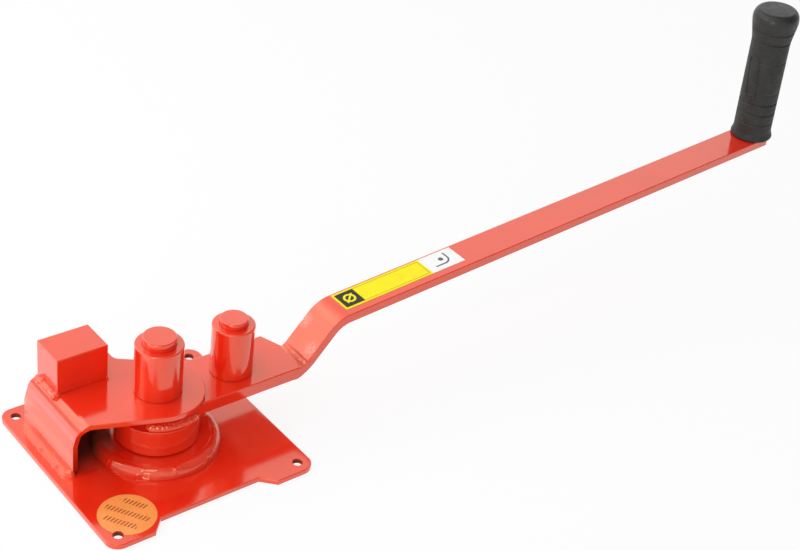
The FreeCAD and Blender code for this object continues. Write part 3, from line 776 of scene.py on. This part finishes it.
def make_bench_plate():
    half, waist, outer = PLATE / 2, PLATE / 2 - RECESS, PLATE / 2 - TAB
    inner = outer - RECESS
    near = [(-half, -half), (-outer, -half), (-inner, -waist), (inner, -waist), (outer, -half), (half, -half)]
    corners = near + [(-x, -y) for x, y in near]
    radii = [PLATE_CORNER if abs(x) == half and abs(y) == half else 1.2 for x, y in corners]
    bolt = BOLT_APART / 2
    holes = [ring_of(BOLT_HOLE / 2, 48, x, y, True) for x in (-bolt, bolt) for y in (-bolt, bolt)]
    holes.append(ring_of(POST_R + SNUG, clockwise=True))
    fit(even_shading(slab("bench_plate", round_off(corners, radii, 12), holes, 0, PLATE_THICK, 0.7)), "base",
        "base_plate")


def make_stand_plate():
    """One bent plate, drawn flat as (length from the foot, Y, depth) and then turned over at the bend."""
    outer, middle = BEND_INNER + STAND_THICK, BEND_INNER + STAND_THICK / 2
    foot = TONGUE_TOP - outer - PLATE_THICK
    arc = middle * math.pi / 2
    bend_x = outer - STAND_REACH
    taper_from, slope_low, slope_high = 34.0, 28.0, 56.0
    disc_r, neck_x, neck_angle = 40.0, -10.5, 34.5

    def along(z):
        """Length from the foot at a height of the outer face."""
        if z <= foot + PLATE_THICK:
            return z - PLATE_THICK
        return foot + middle * math.asin(min(1.0, (z - foot - PLATE_THICK) / outer))

    def at(x):
        return foot + arc + x - bend_x

    taper = (TONGUE_NEAR - LEG_NEAR) / (TONGUE_TOP - taper_from)
    near = [(0.0, LEG_NEAR), (along(taper_from), LEG_NEAR)]
    near += [(along(z), LEG_NEAR + taper * (z - taper_from)) for z in (42, 48, 51, 54, 56.5, 58.5, 59.6, 60)]
    start = math.atan2(TONGUE_NEAR, bend_x) + math.acos(disc_r / math.hypot(bend_x, TONGUE_NEAR))
    end = math.radians(90 - neck_angle)
    disc = [(at(disc_r * math.cos(a)), disc_r * math.sin(a)) for a in np.linspace(start, end, 72)]
    root_y = disc_r * math.sin(end) + (disc_r * math.cos(end) - neck_x) * math.tan(math.radians(neck_angle))
    shoulder = round_off([disc[-1], (at(neck_x), root_y), (at(neck_x), TONGUE_FAR)], [0, 8.0, 0], 10)[1:-1]
    slope = [(along(z), TONGUE_FAR + (LEG_FAR - TONGUE_FAR) * (slope_high - z) / (slope_high - slope_low))
             for z in (56, 54, 51, 48, 42, 36)]
    outline = near + disc + shoulder + [(at(neck_x), TONGUE_FAR), (along(TONGUE_TOP), TONGUE_FAR)] + slope
    outline += [(along(slope_low), LEG_FAR), (0.0, LEG_FAR)]
    hole = ring_of(POST_R + SNUG, x=at(0), clockwise=True)
    piece = slab("stand_plate", outline, [hole], -STAND_THICK, 0, 0.55)
    dull_to = 35.0
    cut_across(piece, [dull_to] + [foot + arc * k / 20 for k in range(21)])

    def bent(s, y, depth):
        if s <= foot:
            return (-STAND_REACH - depth, y, PLATE_THICK + s)
        if s >= foot + arc:
            return (bend_x + s - foot - arc, y, TONGUE_TOP + depth)
        a, r = (s - foot) / middle, outer + depth
        return (bend_x - r * math.cos(a), y, TONGUE_TOP - outer + r * math.sin(a))

    reshape(piece, bent)
    fit(even_shading(piece), "base", "bracket")
    # The outer leg's lower faces take the satin enamel with its painted reflection.
    piece.data.materials.append(SATIN_PAINTED_REFLECTION)
    for face in piece.data.polygons:
        if face.center.x < (0.3 - STAND_REACH) * MM and face.center.z < (PLATE_THICK + dull_to) * MM:
            face.material_index = 1


def make_anvil_block():
    x0, x1, y0, y1, z0, z1 = BLOCK
    outline = round_off([(x0, y0), (x1, y0), (x1, y1), (x0, y1)], 0.9)
    fit(even_shading(slab("anvil_block", outline, [], z0, z1, 0.8, 4)), "base", "stop_block")


def make_stay():
    """Upright plate under the stand plate's tongue, with a bead along each side of its foot."""
    near, far, left, top, relief = 48.5, 53.5, -79.0, 55.0, BEND_INNER * 0.6
    outline = round_off([(left, PLATE_THICK), (-36.0, PLATE_THICK), (-29.0, top), (left + relief, top),
                         (left, top - relief)], [0, 0.8, 0.8, 2.0, 2.0])
    piece = slab("stay_plate", outline, [], near, far, 0.6)
    stand_up(piece)
    fit(even_shading(piece), "base", "tongue_rib")
    ends = (-76.0, -39.5)
    section = fillet_section(3.6, 3.6, 0.58)
    for name, node, y, way in (("stay_bead_near", "rib_weld_near", near, 1),
                               ("stay_bead_far", "rib_weld_far", far, -1)):
        line = thicken([(x, y, PLATE_THICK) for x in ends[::way]], 1.0)
        piece = bead(name, line, section, step=0.6, ripple=(3.0, 0.12), lumps=(4.0, 0.4), seed=2.0)
        fit(piece, "base", node, None)


def make_base_beads():
    ring = [(x, y, PLATE_THICK) for x, y in ring_of(FLANGE_R, 180)]
    rise = FLANGE_TOP - PLATE_THICK - 0.1
    section = fillet_section(FLANGE_LEG - 0.4, rise, 0.69, steps=10)
    section[-1:] = [(-1.6, rise + 0.3), (-3.2, rise + 0.3), (-4.0, rise - 0.2), (-0.6, rise * 0.9)]
    piece = bead("foot_ring_bead", ring, section, step=0.6, ripple=(4.2, 0.02), lumps=(12.0, 0.5),
                 nuggets=(3.0, 0.15), seed=3.0, closed=True)
    raise_knobs(piece, (-41.0, -37.1, 10.2, 1.1, 2.4), (-38.6, -39.0, 11.4, 0.7, 1.8),
                (-12.2, -51.8, 13.2, 1.1, 2.0), (-8.0, -51.2, 14.2, 0.7, 2.0), (17.1, -52.5, 9.8, 0.9, 1.8),
                (19.3, -50.5, 11.9, 1.4, 1.6))
    fit(piece, "base", "flange_weld", None)

    corner = thicken([(-STAND_REACH, 79.5, PLATE_THICK), (-STAND_REACH, -4.5, PLATE_THICK)], 1.0)
    corner += [(0.8 - STAND_REACH, -5.6, PLATE_THICK), (2.4 - STAND_REACH, -6.0, PLATE_THICK)]
    smear = [(-0.7, -0.7), (10.2, -0.7), (10.2, -0.35), (9.0, 0.05), (7.4, 0.35), (6.0, 0.7), (4.8, 1.15),
             (3.9, 1.7), (3.0, 2.35), (2.3, 3.1), (1.6, 4.0), (0.9, 5.0), (0.3, 5.9), (0.0, 6.2), (-0.7, 6.2)]
    piece = bead("stand_foot_bead", corner, smear, step=0.6, ripple=(5.0, 0.0), lumps=(6.0, 0.4), end=5.0,
                 seed=8.0, finish=STREAKED)
    raise_knobs(piece, (-88.0, -2.6, 6.4, 1.3, 1.6), (-86.0, -5.2, 7.3, 1.2, 1.4), (-92.0, -5.0, 5.6, 0.8, 1.8),
                (-93.0, 36.2, 5.5, 0.6, 1.8), (-96.0, 46.7, 5.3, 0.5, 2.0), (-90.5, 12.0, 5.8, 0.5, 2.4),
                (-86.4, 24.0, 7.6, 0.5, 2.0), (-87.0, 66.0, 7.0, 0.5, 2.6))

    def thin_out(x, y, z):
        share = min(1.0, max(0.0, (y - 56.0) / 23.0))
        return (x, y, PLATE_THICK + (z - PLATE_THICK) * (1 - 0.85 * share) - 0.25 * share)

    reshape(piece, thin_out)
    fit(piece, "base", "bracket_foot_weld", None)

    x0, x1, y0, y1, z0, _ = BLOCK
    line = thicken([(x0 - 0.6, y1 - 3.0, z0 - 0.4), (x0 - 0.6, y0 - 2.2, z0 - 0.4)], 0.6)
    piece = bead("anvil_bead", line, oval_section(5.4, 3.3, 0.4, 24), step=0.45, ripple=(3.6, 0.05),
                 lumps=(5.5, 0.9), nuggets=(1.9, 0.6), end=3.5, seed=5.0)
    raise_knobs(piece, (-81.6, 57.5, 60.0, 0.8, 1.8), (-77.0, 56.5, 62.8, 0.7, 1.6),
                (-81.4, 29.8, 60.5, 0.8, 1.7), (-76.4, 31.0, 62.6, 0.8, 1.6), (-80.5, 44.0, 61.5, 0.5, 2.2))
    fit(piece, "base", "stop_block_weld", None)
    line = thicken([(x1 - 1.2, y0 + 0.2, z0), (x1 + 0.9, y0 - 0.4, z0)], 0.5)
    piece = bead("anvil_tack", line, oval_section(2.5, 2.5, 0.3, 16), step=0.5, ripple=(2.0, 0.05),
                 lumps=(3.0, 0.4), end=1.1, seed=6.0)
    fit(piece, "base", "stop_block_tack", None)


# ---------------------------------------------------------------- lever

def make_arm():
    outline = round_off([(0.0, -ARM_HALF), (ARM_LONG - 4.6, -ARM_HALF), (ARM_LONG, -15.5), (ARM_LONG, 6.3),
                         (124.5, ARM_HALF), (0.0, ARM_HALF)], [0, 0.9, 6.0, 0.9, 0.9, 0], 4)
    outline += [(ARM_HALF * math.cos(a), ARM_HALF * math.sin(a))
                for a in np.linspace(math.pi / 2, 3 * math.pi / 2, 49)[1:-1]]
    holes = [ring_of(POST_R + RUNNING, clockwise=True), ring_of(PIN_R + SNUG, x=PIN_X, clockwise=True)]
    piece = slab("arm_slab", outline, holes, ARM_LOW, ARM_TOP, 0.9, 4)
    cut_across(piece, [ARM_LOW + up for up in (1.4, 2.1, 3.0, 4.0, 5.4, 7.0)], 2)
    ground = 7.0

    def ground_off(x, y, z):
        """The lower corner of the arm's end is ground round."""
        drop = max(0.0, min(ground, ARM_LOW + ground - z))
        return (min(x, ARM_LONG - ground + math.sqrt(ground ** 2 - drop ** 2)), y, z)

    reshape(piece, ground_off)
    fit(even_shading(piece), "lever", "arm_plate")


def make_hub_beads():
    for side, name, node in ((1, "hub_bead_near", "hub_weld_near"), (-1, "hub_bead_far", "hub_weld_far")):
        line = []
        for k in range(21):
            a = math.radians(270 - 52.0 * (1 - k / 20))
            line.append((ARM_HALF * math.cos(a), ARM_HALF * math.sin(a) * side, ARM_LOW))
        line += thicken([(0.0, -ARM_HALF * side, ARM_LOW), (22.0, -ARM_HALF * side, ARM_LOW)], 1.0)[1:]
        piece = bead(name, line[::side], fillet_section(6.9, 7.0, 0.70, steps=14), step=0.4, ripple=(3.1, 0.1),
                     lumps=(2.8, 0.6), nuggets=(1.4, 0.6), end=9.0, seed=11.0 + side, finish=ROUGH_WELD)
        fit(piece, "lever", node, None)


def make_pin_bead():
    ring = [(x, y, ARM_LOW) for x, y in ring_of(PIN_R, 90, PIN_X)]
    section = [(out, -up) for out, up in fillet_section(3.9, 2.8, 0.55)]
    piece = bead("side_pin_bead", ring, section, step=0.6, ripple=(3.0, 0.12), lumps=(5.0, 0.12), seed=4.0,
                 closed=True)
    fit(piece, "lever", "bending_pin_weld", None)


def make_strap_bead():
    """Fill between the arm's end and the strap's root, with a crest of weld on it."""
    groove = [(134.6, 6.1, 55.1), (134.4, -14.0, 55.0), (133.8, -21.0, 54.2), (132.4, -27.0, 52.9)]
    lens = [(-0.66 * 2.6 * math.cos(a) + 0.75 * math.sin(a), 0.75 * 2.6 * math.cos(a) + 0.66 * math.sin(a))
            for a in np.linspace(0, math.tau, 25)[:-1]]
    crest = bead("strap_bead", thicken(groove, 0.6), lens, step=0.4, ripple=(2.6, 0.05), lumps=(3.4, 0.5),
                 nuggets=(1.6, 0.25), end=2.5, seed=9.0)
    fill = [(123.0, 41.3), (126.5, 41.5), (130.0, 42.7), (133.5, 44.6), (137.0, 47.0), (140.6, 49.9),
            (143.8, 52.8), (142.0, 55.0), (137.6, 57.6), (135.6, 56.2), (133.8, 55.15), (132.7, 54.5),
            (131.9, 53.95), (131.2, 53.6), (130.5, 53.3), (129.8, 53.0), (128.0, 52.3), (123.0, 52.3)]
    belly = slab("strap_root_fill", fill, [], -ARM_HALF - 0.15, 6.0, 0.35)
    stand_up(belly)
    cut_across(belly, np.arange(128.4, 136.0, 0.6))
    cut_across(belly, np.arange(-27.6, -12.0, 1.2), 1)

    def hollowed(x, y, z):
        """The fill sags along the crease, more and more towards the near side."""
        share = min(1.0, max(0.0, (-13.0 - y) / 12.0))
        dip = 0.7 * share * math.exp(-((x - 131.2) / 1.5) ** 2)
        return (x, y, z - (dip if z > 50.0 else 0.0))

    reshape(belly, hollowed)
    belly.data.materials.append(WELDED)
    fit(joined("strap_bead", crest, belly), "lever", "lever_weld", None)


def make_strap():
    """The bar's section at each station: upright along the arm's end, and rounded off at the bar's far end."""
    near, half, edge = -ARM_HALF, STRAP_THICK / 2, 0.9
    far = near + STRAP_WIDE
    outline = round_off([(near, -half), (far, -half), (far, half), (near, half)], edge, 4)
    *stations, last = lever_line()
    rings = []

    def set_up(station, section, ahead):
        (x, z), heading = station
        rings.append([(x - n * math.sin(heading) + ahead(n) * math.cos(heading), y,
                       z + n * math.cos(heading) + ahead(n) * math.sin(heading)) for y, n in section])

    set_up(stations[0], outline, lambda n: n * math.tan(ROOT))
    for station in stations[1:]:
        set_up(station, outline, lambda n: 0.0)
    for k in range(4):
        a = math.pi / 2 * k / 3
        set_up(last, drawn_in(outline, edge * (1 - math.cos(a))), lambda n: -edge * (1 - math.sin(a)))
    count = len(outline)
    faces = [tuple(range(count)), tuple(range((len(rings) - 1) * count, len(rings) * count))]
    for start in range(0, (len(rings) - 1) * count, count):
        for k in range(count):
            j = (k + 1) % count
            faces.append((start + k, start + j, start + count + j, start + count + k))
    piece = mesh_piece("lever_strap", [p for ring in rings for p in ring], faces)
    root = set(min(piece.data.polygons, key=lambda face: face.center.x).edge_keys)
    for line in piece.data.edges:
        line.use_edge_sharp = line.key in root
    fit(even_shading(piece), "lever", "lever_bar", STRAP_COAT)


def grip_outline():
    """Half outline of the grip: crown, knob, grooved barrel and flared foot, then the bore for the rod."""
    foot_high, knob_from, crown_from, edge = 9.0, 110.0, 136.0, 1.6
    grooves = [(middle, depth, 1.3) for middle, depth in (
        (19.6, 0.7), (31.1, 1.0), (43.2, 1.0), (55.4, 0.45), (67.0, 0.25), (91.8, 0.45), (105.4, 0.2),
        (113.5, 1.0), (125.4, 1.0))] + [(144.0, 0.35, 0.9)]

    def eased(t):
        return t * t * (3 - 2 * t)

    def barrel(h):
        if h < foot_high:
            return GRIP_R + 2.0 * eased((foot_high - h) / foot_high)
        if h < knob_from:
            return GRIP_R
        if h < crown_from:
            t = (h - knob_from) / (crown_from - knob_from)
            return GRIP_R + 3.75 * (eased(t) * 0.55 + t * 0.45)
        t = (h - crown_from) / (GRIP_LONG - crown_from)
        return 17.0 + 6.75 * math.sqrt(max(0.0, 1 - t ** 2.2))

    made = [(0.0, GRIP_LONG)]
    for h in np.linspace(GRIP_LONG, 0.0, 420):
        r = barrel(h)
        for middle, depth, half in grooves:
            away = abs(h - middle) / half
            if away < 1:
                r -= depth * (0.5 + 0.5 * math.cos(math.pi * away))
        if h < edge:
            r -= edge - math.sqrt(max(0.0, edge ** 2 - (edge - h) ** 2))
        made.append((r, h))
    bore = ROD_R + SNUG
    return made + [(20.3, -3.0), (18.5, -3.0), (bore, 3.5), (bore, ROD_DEEP + SNUG), (0.0, ROD_DEEP + SNUG)]


def blank_badge():
    """Long rounded frame that stands out of the grip's barrel, with nothing written in it."""
    loop = round_off([(-5.9, 49.3), (5.9, 49.3), (5.9, 97.5), (-5.9, 97.5)], 5.8, 10)
    line = []
    for across, h in thicken(loop + loop[:1], 0.8)[:-1]:
        a = math.radians(182.0 - 0.25 * (h - 73.4)) + across / GRIP_R
        line.append(((GRIP_R - SNUG) * math.cos(a), (GRIP_R - SNUG) * math.sin(a), h))
    return bead("blank_badge", line, oval_section(0.75, 0.75, 0.0, 12), step=0.7, ripple=(3.0, 0.0),
                lumps=(6.0, 0.0), closed=True, finish=RUBBER)


def make_grip():
    """The grip leans a little off the strap's run, and its foot is trimmed to the strap's face."""
    (x, z), heading = lever_line()[-1]
    top, back = STRAP_THICK / 2, 7.5
    foot = Vector((x - top * math.sin(heading) - back * math.cos(heading), STRAP_WIDE / 2 - ARM_HALF,
                   z + top * math.cos(heading) - back * math.sin(heading)))
    lean = Matrix.Rotation(math.radians(-3.4), 3, "Y")
    up = Vector((-math.sin(RUN), 0, math.cos(RUN)))
    piece = joined("rubber_grip", turned("rubber_grip", grip_outline(), steps=120), blank_badge())

    def placed(x, y, z):
        p = lean @ Vector((x, y, z)) + foot
        return p + up * max(0.0, (foot - p).dot(up) + SNUG)

    reshape(piece, placed)
    fit(piece, "lever", "handle_grip", RUBBER)


# ---------------------------------------------------------------- everything in place

set_view()
set_sky(horizon=0.15, overhead=1.16, dark_side=(0.57, -0.45, 0.70))
lay_floor()
# Each lamp: its place and size in metres, its watts, and how far its light fades in from its edges
hang_lamp("left_panel", (-0.586, 1.098, 0.99), (2.2, 1.5), 12.5, 0.3)
hang_lamp("top_panel", (0.02, 0.99, 1.30), (1.6, 1.0), 3.0, 0.5)
hang_lamp("back_panel", (1.118, 1.116, 1.027), (2.0, 1.2), 1.5, 0.4)
hang_lamp("left_lamp", (-0.85, 0.30, 1.04), (0.24, 0.18), 4.0, 0.3)
hang_lamp("side_panel", (-1.10, 0.40, 0.865), (1.0, 0.5), 4.5, 0.5)
hang_lamp("top_lamp", (-0.41, -0.48, 1.33), (0.45, 0.45), 2.4, 0.3)
hang_lamp("front_lamp", (-1.23, -0.92, 0.50), (0.5, 0.3), 8.0, 0.2)
hang_lamp("left_floor_panel", (-0.369, 0.2, 0.003), (0.464, 0.8), 0.75, 0.05, (-0.369, 0.2, 1.0))

make_bench_plate()
make_turned("fixed_post", "base", "centre_post", (0, POST_R), (0.0, POST_TOP), [0, 0.4, 1.1, 0])
make_turned("foot_ring", "base", "pivot_flange", (POST_R + SNUG, FLANGE_R), (PLATE_THICK, FLANGE_TOP),
            [0.15, 0.8, 0.8, 0.15], 5)
make_turned("lower_slip_ring", "base", "lower_thrust_washer", (POST_R + SNUG, 32.0), (FLANGE_TOP, 16.0),
            [0.15, 0.3, 0.3, 0.15], 5)
make_stand_plate()
make_anvil_block()
make_stay()
make_base_beads()
make_turned("turning_hub", "lever", "pivot_hub", (POST_R + RUNNING, HUB_R), (HUB_LOW, HUB_TOP),
            [0.15, 0.7, 0.7, 0.15], 5)
make_arm()
make_turned("upper_slip_ring", "lever", "upper_thrust_washer", (POST_R + RUNNING, 25.0), (ARM_TOP, 54.75),
            [0.15, 0.4, 0.4, 0.15], 5)
make_hub_beads()
make_pin_bead()
make_strap_bead()
make_turned("side_pin", "lever", "bending_pin", (0, PIN_R), (PIN_LOW, PIN_TOP), [0, 0.6, 1.1, 0], x=PIN_X)
make_strap()
make_grip()
make_turned("centre_roller", "centre_roller", "centre_sleeve", (POST_R + RUNNING, 21.0), (60.25, 107.75),
            [0.2, 0.6, 1.3, 0.35])
make_turned("side_roller", "bending_roller", "bending_sleeve", (PIN_R + RUNNING, 19.0), (53.5, 102.5),
            [0.2, 0.6, 1.3, 0.35], x=PIN_X)

for node, finish, slot in (("post_root_weld", WELDED, "red_paint"), ("handle_rod", ENAMEL, "red_paint"),
                           ("handle_rod_weld", WELDED, "red_paint"), ("long_label", YELLOW, "label_yellow"),
                           ("symbol_tile", BLACK, "label_black"), ("plain_label", WHITE, "label_white"),
                           ("round_label", ORANGE, "label_orange")):
    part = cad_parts[node]
    part.data.materials.clear()
    part.data.materials.append(finish)
